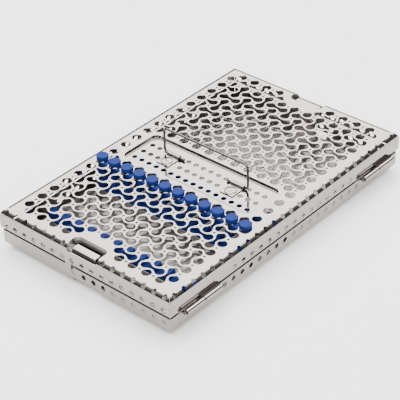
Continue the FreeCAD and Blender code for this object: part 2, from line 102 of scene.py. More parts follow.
# Recessed panel under the bail, with three columns of holes
PANEL_X0, PANEL_X1, PANEL_HALF_Y = -26.8 * MM, 13.4 * MM, 65.0 * MM
PANEL_DEPTH, PANEL_SLOPE, PANEL_CORNER = 2.6 * MM, 0.9 * MM, 5.0 * MM
PANEL_Z = HEIGHT - PANEL_DEPTH
PANEL_COLUMNS = (-19.5 * MM, -9.1 * MM, 1.9 * MM)
PANEL_PITCH, PANEL_ROWS = 7.75 * MM, 16
PANEL_HOLE_DROP = 0.4 * MM
PANEL_MARGIN = 0.15
NO_PANEL = (99.0, -99.0)
POCKET_TOP_IN_SHEETS = 0.6
CLIP_Y = 33.0 * MM

# Pressed edges, with their midway points as shares of the edge's width
PRESSED_LIP, LIP_TURN, FOOT_TURN = 0.6 * MM, 0.3, (0.5, 0.2)
LEAST_CORNER = 0.1 * MM

# Hinge leaves and the slots that they reach through
LEAF = 0.8 * MM
LEAF_REACH = 2.2 * MM
SLOT_END, SLOT_GAP, SLOT_ROUND = 3.0 * MM, 0.35 * MM, 0.98
KNUCKLE_GAP = 0.6 * MM
ROLL_DEGREES = range(100, 391, 12)
PIN_CHAMFER, PIN_TIP = 0.3 * MM, 0.6

# Open joints at the tray's upright corners
TRAY_SLIT_LOW, TRAY_SLIT_PAST = 6.0 * MM, 1.0 * MM

# Wire bail, latch tongues and rivets
BAIL_BEND, BAIL_END_Y = 3.4 * MM, 22.0 * MM
PAD_BEND, PAD_DROP, LEG_BEND = 4.0 * MM, 4.4 * MM, 2.4 * MM
RIVET_RISE, DOME_RIM, DOME_FLAT = 0.9 * MM, 0.25, 0.3
CLIP_TOE_IN_STRAPS, CLIP_CREST = 0.6, 0.98

# Silicone rails: a strip with fingers, and studs on the lid's one
FINGER, STRIP_HALF = 7.0 * MM, 4.5 * MM
ITEM_COUNT = 12
LID_STRIP, LID_FINGER_RISE = 4.0 * MM, 1.5 * MM
STEM_RADIUS, STEM_DROP, STUD_FLARE, STUD_RIM = 2.7 * MM, 2.0 * MM, 0.2 * MM, 0.8 * MM
TRAY_STRIP_TOP, TRAY_FINGER_LOW = 9.0 * MM, 2.0 * MM

# Sides of the round things, and steps of their bends
LOBE_SIDES, SMALL_SIDES, HOLE_SIDES, STUD_SIDES, STUD_STEPS = 16, 10, 16, 32, 4
PIN_SIDES, RIVET_SIDES, WIRE_SIDES, WIRE_STEPS = 20, 28, 24, 10

# Widths of the rounded edges of the metal and the silicone pieces
LEAF_EDGE, STRAP_EDGE, TONGUE_EDGE, WIRE_EDGE = 0.12 * MM, 0.15 * MM, 0.2 * MM, 0.25 * MM
STRIP_EDGE, LID_FINGER_EDGE, TRAY_FINGER_EDGE = 0.5 * MM, 1.0 * MM, 1.4 * MM

# Degrees past which an edge is shaded sharp, and is rounded on silicone, straps and wire
CREASE, SOFT_ANGLE, STRAP_ANGLE, WIRE_ANGLE = 32, 35, 50, 60
FACE_WEIGHT = 100

# Slope of a normal past which a face counts as level, and how deep a wall's faces lie
LEVEL = 0.7
WALL_BAND = 2.0 * MM

# Share of the steel's tint, roughness, grain, and the way the grain is drawn out
STEELS = {
    "polished_steel": (1.0, 0.07, 0.10, (0.03, 1, 1)),
    # Faces looking into the case: a duller finish whose lower tint share is painted shade
    "sheet_inside": (0.6, 0.3, 0.25, (0.03, 1, 1)),
    # Wire and pins: the low tint share is a painted dark reflection, not a darker steel
    "steel_wire": (0.3, 0.08, 0.08, (1, 0.04, 1)),
    "inner_steel": (1.25, 0.5, 0.25, (1, 0.03, 1)),
}
STEEL_DARKER, ROUGHNESS_DRIFT, GRAIN_DEPTH = 0.93, 0.08, 0.02 * MM
SILICONE_TINTS, SILICONE_ROUGHNESS, SILICONE_SHEEN = (0.8, 1.15), (0.55, 0.75), 0.15
SKIN_STRENGTH, SKIN_DEPTH = 0.35, 0.03 * MM
FLOOR_DARKER, FLOOR_ROUGHNESS = 0.985, 0.9

# Scale and detail of each noise
SMEAR, GRAIN, SKIN, LINT, CLOUD = (38.0, 4.0), (900.0, 3.0), (2600.0, 2.0), (120.0, 3.0), (3.0, 2.0)

# Camera, as turned about the middle of the lid's top
VIEW_DEGREES = (-48.29, 35.07, -1.55)
VIEW_DISTANCE, VIEW_RIGHT, VIEW_UP = 1.1638, -4.4 * MM, -24.7 * MM
LENS, SENSOR = 133.1, 36.0

# Studio: each pair of levels is reached over its pair of heights in the surroundings
ALONG_VIEW = (0.746, 0.666, 0)
SKY_LEAN = 0.35
SKY_LEVELS, SKY_HEIGHTS = (0.02, 1.0), (0.66, 0.79)
ZENITH_LEVELS, ZENITH_HEIGHTS = (1.0, 0.2), (0.86, 0.95)
DIM_LEVELS, DIM_HEIGHTS = (0.02, 0.1), (0.44, 0.6)
STUDIO_COLOUR, STUDIO_STRENGTH = (1, 0.985, 0.965, 1), 8.0
FLOOR_HALF, FLOOR_DEPTH, FLOOR_GAP = 3.0, 0.01, 0.2 * MM
LAMP_PLACE, LAMP_TARGET, LAMP_SIDE, LAMP_WATTS = (0.2, 0.2, 1.5), (0.2, 0.2, 0), 0.5, 12.0


def length(name, description, millimetres):
    """Property that holds a length in metres."""
    return bpy.props.FloatProperty(name=name, description=description, default=millimetres * MM,
                                   unit="LENGTH", precision=5)


def colour(name, description, default):
    """Property that holds a colour."""
    return bpy.props.FloatVectorProperty(name=name, description=description, subtype="COLOR", size=3,
                                         default=default)


class SheetSizes(bpy.types.PropertyGroup):
    """The pressed steel that the lid and the tray are made of."""
    sheet: length("Sheet", "Thickness of the steel sheet", 0.8)
    lid_bend: length("Lid bend", "Outer radius of the lid's bends", 7.5)
    tray_bend: length("Tray bend", "Outer radius of the tray's bends", 4.5)
    corner: length("Corner radius", "Rounding of the upright corners", 0.7)
    flare: length("Rim flare", "Rounding of each punched rim", 0.28)
    rim: length("Rim", "Width of the rims drawn down round the big holes", 0.8)
    slit: length("Corner slit", "Open joint at each upright corner", 0.35)


class PatternSizes(bpy.types.PropertyGroup):
    """The interlocking dumbbell perforation and the round holes."""
    half_pitch: length("Half pitch", "Spacing of the lobes' lattice", 6.7)
    web: length("Web", "Steel left between two of the lid's openings", 1.9)
    tray_web: length("Tray web", "Steel left between two of the tray's openings", 3.6)
    pin_hole: length("Small hole", "Radius of the holes between lobes", 1.0)
    wall_hole: length("Wall hole", "Diameter of the holes in the walls", 4.5)
    last_column: bpy.props.IntProperty(name="Last column", description="Lattice columns each side",
                                       default=19)
    last_row: bpy.props.IntProperty(name="Last row", description="Lattice rows each side", default=11)


class FinishColours(bpy.types.PropertyGroup):
    """Colours of the steel, the silicone and the floor."""
    steel: colour("Steel", "Tint of the polished steel", (0.29, 0.272, 0.258))
    silicone: colour("Silicone", "Colour of the studs and rails", (0.002, 0.012, 0.10))
    floor: colour("Floor", "Colour of the studio floor", (0.74, 0.74, 0.74))


class Nodes:
    """Short way to build a node tree."""

    def __init__(self, tree):
        self.tree = tree

    def feed(self, socket, value):
        """Links a socket to another, or sets it."""
        if isinstance(value, bpy.types.NodeSocket):
            self.tree.links.new(value, socket)
        else:
            socket.default_value = value

    def give(self, node, **values):
        """Feeds a node's inputs by their names, with spaces written as underscores."""
        for key, value in values.items():
            self.feed(node.inputs[key.replace("_", " ")], value)
        return node

    def add(self, kind, settings=None, **values):
        """New node with its settings and its inputs."""
        node = self.tree.nodes.new(kind)
        for key, value in (settings or {}).items():
            setattr(node, key, value)
        return self.give(node, **values)

    def calc(self, operation, a, b=0.0):
        """Result of a sum."""
        node = self.add("ShaderNodeMath", {"operation": operation})
        self.feed(node.inputs[0], a)
        self.feed(node.inputs[1], b)
        return node.outputs[0]

    def plus(self, a, b):
        """Both values together."""
        return self.calc("ADD", a, b)

    def minus(self, a, b):
        """The first value less the second."""
        return self.calc("SUBTRACT", a, b)

    def times(self, a, b):
        """One value times the other."""
        return self.calc("MULTIPLY", a, b)

    def above(self, a, b):
        """Whether the first value is the larger."""
        return self.calc("GREATER_THAN", a, b)

    def below(self, a, b):
        """Whether the first value is the smaller."""
        return self.calc("LESS_THAN", a, b)

    def ranged(self, source, levels, limits=(0.0, 1.0)):
        """Source between its two limits, brought between two levels."""
        values = dict(zip(("From_Min", "From_Max", "To_Min", "To_Max"), limits + levels))
        return self.add("ShaderNodeMapRange", Value=source, **values).outputs["Result"]


class Coat(Nodes):
    """Material built round one shader."""

    def __init__(self, name):
        self.material = bpy.data.materials.new(name)
        self.material.use_nodes = True
        super().__init__(self.material.node_tree)
        self.tree.nodes.clear()
        self.shader = self.add("ShaderNodeBsdfPrincipled")
        self.add("ShaderNodeOutputMaterial", Surface=self.shader.outputs["BSDF"])

    def noise(self, scale, detail, stretch=(1, 1, 1)):
        """Noise on object coordinates, stretched along the axes."""
        place = self.add("ShaderNodeTexCoord").outputs["Object"]
        mapping = self.add("ShaderNodeMapping", Vector=place, Scale=stretch)
        return self.add("ShaderNodeTexNoise", Vector=mapping.outputs["Vector"], Scale=scale,
                        Detail=detail).outputs["Fac"]

    def tint(self, source, low, high):
        """Lets the colour drift between two tints."""
        mix = self.add("ShaderNodeMix", {"data_type": "RGBA"}, Factor=source, A=(*low, 1), B=(*high, 1))
        self.give(self.shader, Base_Color=mix.outputs["Result"])

    def relief(self, source, strength, distance):
        """Gives the surface a fine relief."""
        bump = self.add("ShaderNodeBump", Height=source, Strength=strength, Distance=distance)
        self.give(self.shader, Normal=bump.outputs["Normal"])


def steel_material(name, tint, roughness, grain, stretch):
    """Polished sheet with a faint rolling grain and handling smears."""
    coat = Coat(name)
    smear = coat.noise(*SMEAR)
    coat.tint(smear, [c * STEEL_DARKER for c in tint], tint)
    coat.give(coat.shader, Metallic=1.0,
              Roughness=coat.ranged(smear, (roughness, roughness + ROUGHNESS_DRIFT)))
    coat.relief(coat.noise(*GRAIN, stretch), grain, GRAIN_DEPTH)
    return coat.material


def silicone_material(name, tint):
    """Matt moulded silicone with a fine skin and a little lint."""
    coat = Coat(name)
    lint = coat.noise(*LINT)
    low, high = SILICONE_TINTS
    coat.tint(lint, [c * low for c in tint], [min(1, c * high) for c in tint])
    coat.give(coat.shader, Roughness=coat.ranged(lint, SILICONE_ROUGHNESS),
              Specular_IOR_Level=SILICONE_SHEEN)
    coat.relief(coat.noise(*SKIN), SKIN_STRENGTH, SKIN_DEPTH)
    return coat.material


def finish(name):
    """One of the case's finishes, made when it is first asked for."""
    made = "dressed_" + name
    if made in bpy.data.materials:
        return bpy.data.materials[made]
    colours = bpy.context.scene.case_colours
    if name == "blue_silicone":
        return silicone_material(made, colours.silicone)
    share, roughness, grain, stretch = STEELS[name]
    return steel_material(made, [share * c for c in colours.steel], roughness, grain, stretch)


def linked(name, mesh):
    """New object in the scene."""
    thing = bpy.data.objects.new(name, mesh)
    bpy.context.scene.collection.objects.link(thing)
    return thing


def from_bmesh(name, bm):
    """New object made from an edited mesh, which is freed."""
    mesh = bpy.data.meshes.new(name)
    bm.to_mesh(mesh)
    bm.free()
    return linked(name, mesh)


def discard(*things):
    """Takes away helpers that have done their work."""
    for thing in things:
        bpy.data.objects.remove(thing)


def middle_of(low, high):
    """Centre of a box."""
    return [(a + b) / 2 for a, b in zip(low, high)]


def circle(radius, count):
    """Points of a circle about the origin."""
    return [(radius * math.cos(2 * math.pi * k / count), radius * math.sin(2 * math.pi * k / count))
            for k in range(count)]


def rounded_outline(x0, y0, x1, y1, radius, steps=4):
    """Corner points of a rounded rectangle, anticlockwise."""
    points = []
    for x, y, start in ((x1, y1, 0), (x0, y1, 90), (x0, y0, 180), (x1, y0, 270)):
        cx = x - radius if x == x1 else x + radius
        cy = y - radius if y == y1 else y + radius
        for step in range(steps + 1):
            angle = math.radians(start + 90 * step / steps)
            points.append((cx + radius * math.cos(angle), cy + radius * math.sin(angle)))
    return points


def loft(name, rings):
    """Closed solid through rings of points, with its first and last ring capped."""
    bm = bmesh.new()
    rows = [[bm.verts.new(p) for p in ring] for ring in rings]
    count = len(rows[0])
    for lower, upper in zip(rows, rows[1:]):
        for i in range(count):
            j = (i + 1) % count
            bm.faces.new((lower[i], lower[j], upper[j], upper[i]))
    bm.faces.new(reversed(rows[0]))
    bm.faces.new(rows[-1])
    bmesh.ops.recalc_face_normals(bm, faces=bm.faces)
    return from_bmesh(name, bm)


def stacked(name, levels):
    """Solid lofted through flat outlines, each given with its height."""
    return loft(name, [[Vector((x, y, z)) for x, y in outline] for outline, z in levels])


def drawn_out(name, outline, ends):
    """Solid with an outline in X and Z, drawn out along Y between its ends."""
    return loft(name, [[Vector((u, y, v)) for u, v in outline] for y in ends])


def block(name, low, high):
    """Plain cutter between two corners."""
    outline = [(low[0], low[1]), (high[0], low[1]), (high[0], high[1]), (low[0], high[1])]
    return stacked(name, [(outline, low[2]), (outline, high[2])])


def joined(name, things):
    """Several closed solids as one object."""
    bm = bmesh.new()
    for thing in things:
        bm.from_mesh(thing.data)
    discard(*things)
    return from_bmesh(name, bm)


def moved(thing, matrix):
    """The same thing with its mesh turned and moved."""
    thing.data.transform(matrix)
    if matrix.determinant() < 0:
        thing.data.flip_normals()
    return thing


def mirror_x(side):
    """Matrix that leaves the +X end as it is, or mirrors it to the -X end."""
    return Matrix.Scale(side, 4, Vector((1, 0, 0)))


def mirrored_pair(thing, name):
    """A solid at the +X end and its mirror image at the -X end, as one object."""
    return joined(name, [moved(linked(name, thing.data.copy()), mirror_x(-1)), thing])


def pressed_pan(name, half_x, half_y, open_z, closed_z, bend, sizes, shoulder=None, steps=10):
    """Sheet pan: walls up to an open lip, bent over into one closed face.

    A shoulder, given as a depth and two heights, steps the wall inwards below its lip.
    """
    up = 1 if closed_z > open_z else -1
    sheet = sizes.sheet
    lip = sheet / 4

    def ring(inset, z):
        """Round of the pan at a height, set in from its outside."""
        rounding = max(sizes.corner - inset / 2, LEAST_CORNER)
        edge = rounded_outline(-half_x + inset, -half_y + inset, half_x - inset, half_y - inset, rounding, 3)
        return [Vector((x, y, z)) for x, y in edge]

    def bent(radius, turns):
        """Rounds of the pan over its bend."""
        centre_z = closed_z - up * bend
        return [ring(bend - radius * math.cos(t), centre_z + up * radius * math.sin(t)) for t in turns]

    angles = [math.pi / 2 * k / steps for k in range(steps + 1)]
    depth, *heights = shoulder or (0,)
    levels = list(zip((0, depth), heights))
    steps_in = [ring(inset, z) for inset, z in levels]
    steps_out = [ring(inset + sheet, z) for inset, z in reversed(levels)]
    lips = [ring(depth, open_z + up * lip), ring(depth + lip, open_z), ring(depth + sheet - lip, open_z),
            ring(depth + sheet, open_z + up * lip)]
    outside, inside = bent(bend, reversed(angles)), bent(bend - sheet, angles)
    return loft(name, outside + steps_in + lips + steps_out + inside)


def dumbbell(half_pitch, web, grow, lobe_steps=9, neck_steps=3):
    """Outline of two round lobes whose neck follows the lobes of the next openings."""
    reach = math.sqrt(2) * half_pitch / 2
    lobe, neck = reach - web / 2 + grow, reach + web / 2 - grow
    half = []
    for k in range(lobe_steps):
        angle = math.radians(-135 + 270 * k / lobe_steps)
        half.append((half_pitch + lobe * math.cos(angle), lobe * math.sin(angle)))
    for k in range(neck_steps):
        angle = math.radians(-45 - 90 * k / neck_steps)
        half.append((neck * math.cos(angle), half_pitch + neck * math.sin(angle)))
    return half + [(-x, -y) for x, y in half]


def punch(name, outline_at, top, bottom, flare, rim=None):
    """Cutter with flared ends; outline_at gives its outline for a growth.

    A rim wider than the flare draws the hole's upper edge down.
    """
    part = 1 - math.sqrt(0.5)
    width, depth = (rim, RIM_DRAW) if rim else (flare, flare)
    levels = [(top + THROUGH, width), (top, width), (top - depth * part, width * part), (top - depth, 0),
              (bottom + flare, 0), (bottom + flare * part, flare * part), (bottom, flare),
              (bottom - THROUGH, flare)]
    return stacked(name, [(outline_at(grow), z) for z, grow in levels])


def make_punches(top, web, sizes, pattern):
    """The four punches, set at the height of a flat sheet."""
    sheet, flare, rim = sizes.sheet, sizes.flare, sizes.rim
    bottom = top - sheet
    lobe_r = math.sqrt(2) * pattern.half_pitch / 2 - web / 2
    hole_r = pattern.wall_hole / 2
    return {
        "Dumbbell": punch("dumbbell_punch", lambda g: dumbbell(pattern.half_pitch, web, g),
                          top, bottom, flare, rim),
        "Lobe": punch("lobe_punch", lambda g: circle(lobe_r + g, LOBE_SIDES), top, bottom, flare, rim),
        "Small Hole": punch("small_punch", lambda g: circle(pattern.pin_hole + g, SMALL_SIDES),
                            top, bottom, flare),
        "Round Hole": punch("round_punch", lambda g: circle(hole_r + g, HOLE_SIDES),
                            sheet / 2, -sheet / 2, flare),
    }


class Tree(Nodes):
    """Short way to build a Geometry Nodes tree."""

    def __init__(self, name, sockets):
        super().__init__(bpy.data.node_groups.new(name, "GeometryNodeTree"))
        for label, kind in [("Geometry", "Geometry"), *sockets]:
            self.tree.interface.new_socket(label, in_out="INPUT", socket_type="NodeSocket" + kind)
        self.tree.interface.new_socket("Geometry", in_out="OUTPUT", socket_type="NodeSocketGeometry")
        self.source = self.add("NodeGroupInput").outputs
        self.result = self.add("NodeGroupOutput").inputs[0]

    def all_of(self, *tests):
        """Whether every test holds."""
        whole = tests[0]
        for test in tests[1:]:
            whole = self.times(whole, test)
        return whole

    def vector(self, **axes):
        """Vector from its parts."""
        return self.add("ShaderNodeCombineXYZ", **axes).outputs[0]

    def shape_of(self, item):
        """Geometry of an object."""
        return self.add("GeometryNodeObjectInfo", Object=item).outputs["Geometry"]

    def stood_on(self, points, item, **values):
        """Realised copies of an object on points."""
        shape = self.shape_of(item)
        placed = self.add("GeometryNodeInstanceOnPoints", Points=points, Instance=shape, **values)
        return self.add("GeometryNodeRealizeInstances", Geometry=placed.outputs[0]).outputs[0]

    def combined(self, operation, parts, first=None):
        """Solids joined, or cut out of the first."""
        node = self.add("GeometryNodeMeshBoolean", {"operation": operation, "solver": "MANIFOLD"})
        if first is not None:
            self.feed(node.inputs["Mesh 1"], first)
        for part in parts:
            self.feed(node.inputs["Mesh 2"], part)
        return node.outputs["Mesh"]

    def finished(self, geometry):
        """Ends the tree with one real, coated mesh."""
        real = self.add("GeometryNodeRealizeInstances", Geometry=geometry).outputs[0]
        coated = self.add("GeometryNodeSetMaterial", Geometry=real, Material=self.source["Finish"])
        self.feed(self.result, coated.outputs[0])
        return self.tree


def sheet_keeps(tree, column, row):
    """Whether the sheet has a lobe at a lattice place, given in half pitches."""
    inputs = tree.source
    far_x, far_y = tree.calc("ABSOLUTE", column), tree.calc("ABSOLUTE", row)
    inside = tree.all_of(tree.below(far_x, tree.plus(inputs["Last Column"], HALF)),
                         tree.below(far_y, tree.plus(inputs["Last Row"], HALF)))
    panel = tree.all_of(tree.above(column, inputs["Panel From"]), tree.below(column, inputs["Panel To"]),
                        tree.below(far_y, tree.minus(inputs["Last Row"], HALF)))
    outer = tree.all_of(tree.above(far_x, tree.minus(inputs["Notch Column"], HALF)),
                        tree.below(far_y, tree.plus(inputs["Notch Rows"], HALF)))
    inner = tree.all_of(tree.above(far_x, tree.minus(inputs["Notch Column"], 1 + HALF)),
                        tree.below(far_y, tree.minus(inputs["Notch Rows"], HALF)))
    missing = tree.calc("MAXIMUM", panel, tree.calc("MAXIMUM", outer, inner))
    return tree.times(inside, tree.minus(1.0, missing))


def perforation_tree():
    """Tree that punches a pressed sheet: the dumbbell lattice, then the round holes."""
    tree = Tree("Interlocking perforation", [
        ("Half Pitch", "Float"), ("Last Column", "Int"), ("Last Row", "Int"), ("Panel From", "Float"),
        ("Panel To", "Float"), ("Notch Column", "Float"), ("Notch Rows", "Float"), ("Dumbbell", "Object"),
        ("Lobe", "Object"), ("Small Hole", "Object"), ("Round Hole", "Object"), ("Hole Places", "Object"),
        ("Added Steel", "Object"), ("First Voids", "Object"), ("Second Voids", "Object"),
        ("Finish", "Material")])
    inputs, pitch = tree.source, tree.source["Half Pitch"]
    position = tree.add("ShaderNodeSeparateXYZ", Vector=tree.add("GeometryNodeInputPosition").outputs[0])

    def lattice(margin):
        """Grid of places two half pitches apart, out to margin past the last place."""
        values = {}
        for axis, last in (("X", inputs["Last Column"]), ("Y", inputs["Last Row"])):
            across = tree.times(tree.plus(last, margin), 2.0)
            values["Size_" + axis] = tree.times(across, pitch)
            values["Vertices_" + axis] = tree.plus(tree.calc("DIVIDE", across, 2.0), 1.0)
        return tree.add("GeometryNodeMeshGrid", **values).outputs["Mesh"]

    column, row = [tree.calc("ROUND", tree.calc("DIVIDE", position.outputs[axis], pitch)) for axis in "XY"]
    half_sum = tree.calc("DIVIDE", tree.plus(column, row), 2.0)
    upright = tree.above(tree.calc("FLOORED_MODULO", half_sum, 2.0), HALF)
    along_x = tree.minus(1.0, upright)
    low_lobe = sheet_keeps(tree, tree.minus(column, along_x), tree.minus(row, upright))
    high_lobe = sheet_keeps(tree, tree.plus(column, along_x), tree.plus(row, upright))
    centres = lattice(1.0)
    cutters = [tree.stood_on(centres, inputs["Dumbbell"], Selection=tree.all_of(low_lobe, high_lobe),
                             Rotation=tree.vector(Z=tree.times(upright, math.pi / 2)))]
    for kept, other, sign in ((low_lobe, high_lobe, -1.0), (high_lobe, low_lobe, 1.0)):
        step = tree.times(pitch, sign)
        shift = tree.vector(X=tree.times(along_x, step), Y=tree.times(upright, step))
        alone = tree.add("GeometryNodeSeparateGeometry", {"domain": "POINT"}, Geometry=centres,
                         Selection=tree.all_of(kept, tree.minus(1.0, other)))
        placed = tree.add("GeometryNodeSetPosition", Geometry=alone.outputs[0], Offset=shift).outputs[0]
        cutters.append(tree.stood_on(placed, inputs["Lobe"]))

    # A small hole needs three of its four neighbouring lobes
    around = 0.0
    for dx, dy in ((1.0, 0.0), (-1.0, 0.0), (0.0, 1.0), (0.0, -1.0)):
        around = tree.plus(around, sheet_keeps(tree, tree.plus(column, dx), tree.plus(row, dy)))
    cutters.append(tree.stood_on(lattice(0.0), inputs["Small Hole"], Selection=tree.above(around, 2 + HALF)))
    turn = tree.add("GeometryNodeInputNamedAttribute", {"data_type": "FLOAT_VECTOR"}, Name="turn").outputs[0]
    cutters.append(tree.stood_on(tree.shape_of(inputs["Hole Places"]), inputs["Round Hole"], Rotation=turn))

    whole = tree.combined("UNION", [inputs["Geometry"], tree.shape_of(inputs["Added Steel"])])
    cutters += [tree.shape_of(inputs[name]) for name in ("First Voids", "Second Voids")]
    return tree.finished(tree.combined("DIFFERENCE", cutters, whole))


def apply_modifiers(thing):
    """Leaves a thing's shape as its plain mesh."""
    graph = bpy.context.evaluated_depsgraph_get()
    mesh = bpy.data.meshes.new_from_object(thing.evaluated_get(graph))
    thing.modifiers.clear()
    thing.data = mesh


def run_tree(thing, group, values):
    """Applies a tree to a thing; values are the tree's inputs by their names."""
    modifier = thing.modifiers.new("Make", "NODES")
    modifier.node_group = group
    for item in group.interface.items_tree:
        if item.in_out == "INPUT" and item.name in values:
            modifier[item.identifier] = values[item.name]
    bpy.context.view_layer.update()
    apply_modifiers(thing)


def place_points(name, places):
    """Points that carry the turn of what stands on them."""
    mesh = bpy.data.meshes.new(name)
    mesh.from_pydata([p for p, _ in places], [], [])
    turns = mesh.attributes.new("turn", "FLOAT_VECTOR", "POINT")
    for item, (_, turn) in zip(turns.data, places):
        item.vector = turn
    return linked(name, mesh)


def soften(thing, width, degrees, segments=2):
    """Rounds the edges of a plain piece that are sharper than the degrees given."""
    bevel = thing.modifiers.new("Round", "BEVEL")
    bevel.width = width
    bevel.segments = segments
    bevel.limit_method = "ANGLE"
    bevel.angle_limit = math.radians(degrees)
    apply_modifiers(thing)


def shade(thing):
    """Smooth shading that keeps flat faces flat."""
    mesh = thing.data
    mesh.shade_smooth()
    mesh.set_sharp_from_angle(angle=math.radians(CREASE))
    weighted = thing.modifiers.new("Weights", "WEIGHTED_NORMAL")
    weighted.keep_sharp = True
    weighted.weight = FACE_WEIGHT
    apply_modifiers(thing)


def dress(thing, material, body, node):
    """Gives a piece its finish and its body, and hides the construction part it stands for."""
    thing.data.materials.clear()
    thing.data.materials.append(finish(material))
    shade(thing)
    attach(thing, body)
    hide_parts(node)


def line_inside(thing, half_x, half_y):
    """Gives the faces that look into the case a duller finish, darkened as painted shade, and the notches'
    collars a duller finish.
    """
    thing.data.materials.append(finish("sheet_inside"))
    thing.data.materials.append(finish("inner_steel"))
    notch_x = HALF_LENGTH - NOTCH_DEPTH - WALL_BAND, HALF_LENGTH - WALL_BAND
    for face in thing.data.polygons:
        normal, place = face.normal, face.center
        level = abs(normal.z) > LEVEL
        in_notch = abs(place.y) < NOTCH_HALF_Y and notch_x[0] < abs(place.x) < notch_x[1]
        if in_notch and place.z > SEAM and not level:
            face.material_index = 2
        elif level:
            face.material_index = int(normal.z * (SEAM - place.z) > 0)
        else:
            face.material_index = int(abs(place.x) > half_x - WALL_BAND and normal.x * place.x < 0
                                      or abs(place.y) > half_y - WALL_BAND and normal.y * place.y < 0)


def row_of(counts, pitch, shift=0.0):
    """Places of a row, from its first and last count of pitches."""
    return [shift + k * pitch for k in range(counts[0], counts[1] + 1)]


def wall_places(half_x, half_y, z, long_counts, end_limit):
    """Round holes of the four walls."""
    places = []
    for x in row_of(long_counts, WALL_PITCH, LONG_SHIFT):
        places += [((x, side * half_y, z), Euler((math.pi / 2, 0, 0))) for side in (-1, 1)]
    for y in row_of(END_HOLES, END_PITCH):
        if y < end_limit:
            places += [((side * half_x, y, z), Euler((0, math.pi / 2, 0))) for side in (-1, 1)]
    return places


def bend_places(bend):
    """Holes through the lid's bends, halfway round each of them."""
    drop = bend * (1 - math.sqrt(0.5))
    z = HEIGHT - drop
    places = []
    for x in row_of(BEND_HOLES, WALL_PITCH):
        for side in (-1, 1):
            places.append(((x, side * (HALF_WIDTH - drop), z), Euler((-side * math.pi / 4, 0, 0))))
    for y in row_of(END_HOLES, END_PITCH):
        if abs(y) > NOTCH_BORDER:
            for side in (-1, 1):
                places.append(((side * (HALF_LENGTH - drop), y, z), Euler((0, side * math.pi / 4, 0))))
    return places


def panel_places():
    """Columns of holes in the recessed panel, with gaps at the clips and rivets."""
    places = []
    for column, x in enumerate(PANEL_COLUMNS):
        for row in range(PANEL_ROWS):
            y = (row - (PANEL_ROWS - 1) / 2) * PANEL_PITCH
            under_clip = column > 0 and abs(abs(y) - CLIP_Y) < PANEL_PITCH
            if not under_clip:
                places.append(((x, y, PANEL_Z - PANEL_HOLE_DROP), Euler((0, 0, 0))))
    return places


def notch_outline(grow, far_x):
    """Outline of the +X thumb notch, out to far_x."""
    half = NOTCH_HALF_Y + grow
    return rounded_outline(HALF_LENGTH - NOTCH_DEPTH - grow, -half, far_x, half, NOTCH_CORNER + grow, 6)


def panel_outline(grow):
    """Outline of the recessed panel."""
    return rounded_outline(PANEL_X0 - grow, -PANEL_HALF_Y - grow, PANEL_X1 + grow, PANEL_HALF_Y + grow,
                           PANEL_CORNER + grow, 5)


def hinge_spans(which):
    """X spans of the knuckles of the tray's or the lid's two leaves."""
    boxes = [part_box(which + "_hinge_leaf_" + place) for place in ("near", "far")]
    return [(low[0], high[0]) for low, high in boxes]


def hinge_slots(which, half_y, web_z):
    """Round-ended slots through the hinge-side wall, where the leaves' webs pass."""
    z0, z1 = web_z - SLOT_GAP, web_z + LEAF + SLOT_GAP
    slots = []
    for x0, x1 in hinge_spans(which):
        outline = rounded_outline(x0 - SLOT_END, z0, x1 + SLOT_END, z1, (z1 - z0) / 2 * SLOT_ROUND)
        slots.append(drawn_out("slot", outline, (-half_y - THROUGH, -half_y + THROUGH)))
    return slots


def corner_slits(half_x, half_y, low, high, width):
    """Thin cutters that leave the pan's upright corners open."""
    slits = []
    for sx in (-1, 1):
        for sy in (-1, 1):
            slit = block("slit", (-THROUGH / 2, -width / 2, low), (THROUGH / 2, width / 2, high))
            turn = Matrix.Rotation(math.radians(45) * sx * sy, 4, "Z")
            slits.append(moved(slit, Matrix.Translation((sx * half_x, sy * half_y, 0)) @ turn))
    return slits


def perforate(shell, top, web, panel, notch_column, places, voids, added=None):
    """Adds steel to a pressed pan and cuts its lattice, its round holes and its voids."""
    sizes, pattern = bpy.context.scene.case_sheet, bpy.context.scene.case_pattern
    helpers = make_punches(top, web, sizes, pattern)
    helpers.update({"Hole Places": place_points("hole_places", places),
                    "First Voids": voids[0], "Second Voids": voids[1]})
    if added:
        helpers["Added Steel"] = added
    run_tree(shell, perforation_tree(), {
        "Half Pitch": pattern.half_pitch, "Last Column": pattern.last_column, "Last Row": pattern.last_row,
        "Panel From": panel[0], "Panel To": panel[1], "Notch Column": notch_column,
        "Notch Rows": NOTCH_ROWS, "Finish": finish("polished_steel"), **helpers})
    discard(*helpers.values())


